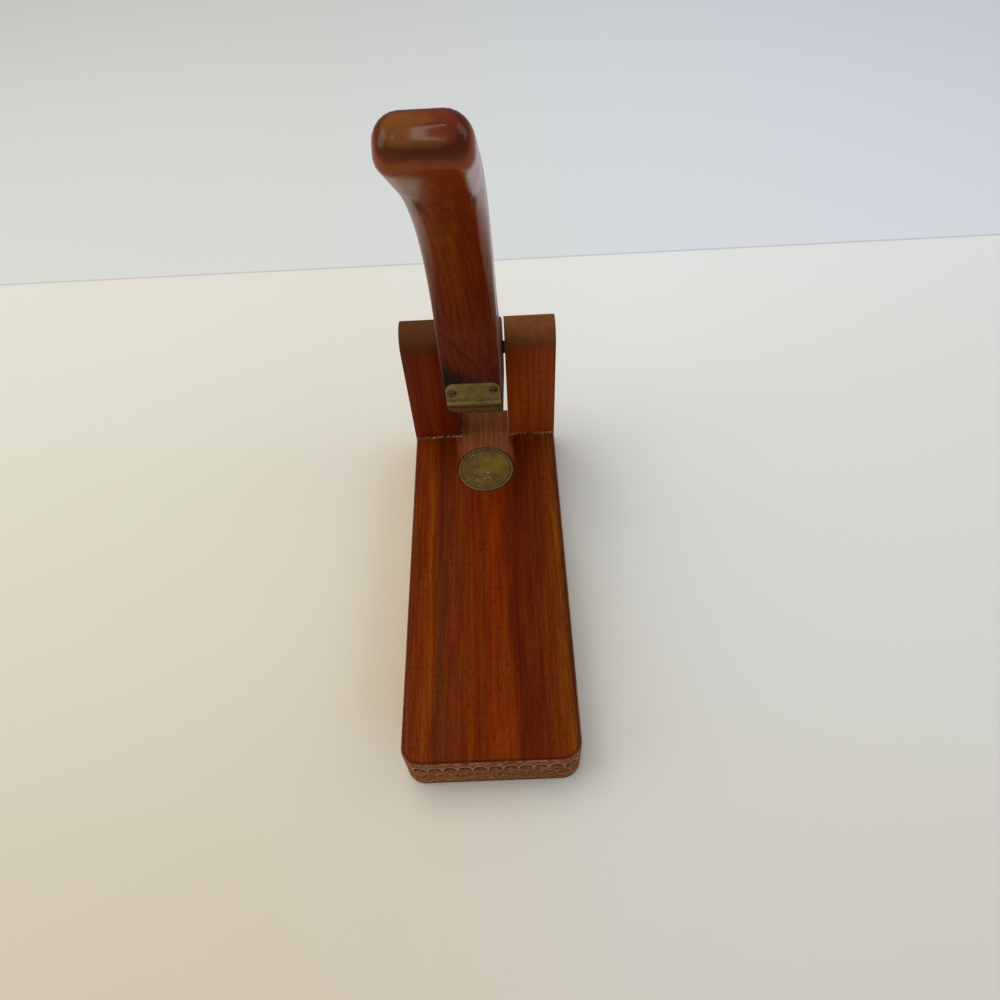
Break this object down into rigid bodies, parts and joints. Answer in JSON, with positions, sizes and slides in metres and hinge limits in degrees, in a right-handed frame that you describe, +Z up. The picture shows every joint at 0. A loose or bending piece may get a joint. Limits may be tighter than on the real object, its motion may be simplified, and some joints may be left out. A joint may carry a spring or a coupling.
{
  "type": "lever nutcracker press",
  "caption": "Hardwood nutcracker: a curved lever pivots between upright posts and presses a nut with its brass shoe on a brass disc let into the base.",
  "frame": {"origin": "centre of the base board's underside", "axes": "+Z up, -Y towards the user and the base's carved front edge, +X to the user's right, along the pivot pin"},
  "size_m": [0.0762, 0.2046, 0.2549],
  "materials": {
    "base_wood": "varnished, worn to satin by the posts",
    "cheek_wood": "satin varnish, vertical grain",
    "lever_wood": "gloss varnish",
    "aged_brass": "tarnished, handled",
    "pin_steel": "dark, oiled",
    "screw_steel": "dark, tarnished"
  },
  "bodies": {
    "base": {"base_board": "base_wood", "left_cheek": "cheek_wood", "right_cheek": "cheek_wood", "left_cheek_screw_lower": "screw_steel", "left_cheek_screw_upper": "screw_steel", "right_cheek_screw_lower": "screw_steel", "right_cheek_screw_upper": "screw_steel", "anvil_disc": "aged_brass", "pivot_pin": "pin_steel"},
    "lever": {"lever": "lever_wood", "lever_shoe": "aged_brass", "left_shoe_screw": "screw_steel", "right_shoe_screw": "screw_steel"}
  },
  "joints": [
    {"name": "lever_pivot", "type": "hinge", "parent": "base", "child": "lever", "pos_m": [0, 0.09, 0.0799], "axis": [1, 0, 0], "range_deg": [-145, 69.5]}
  ]
}
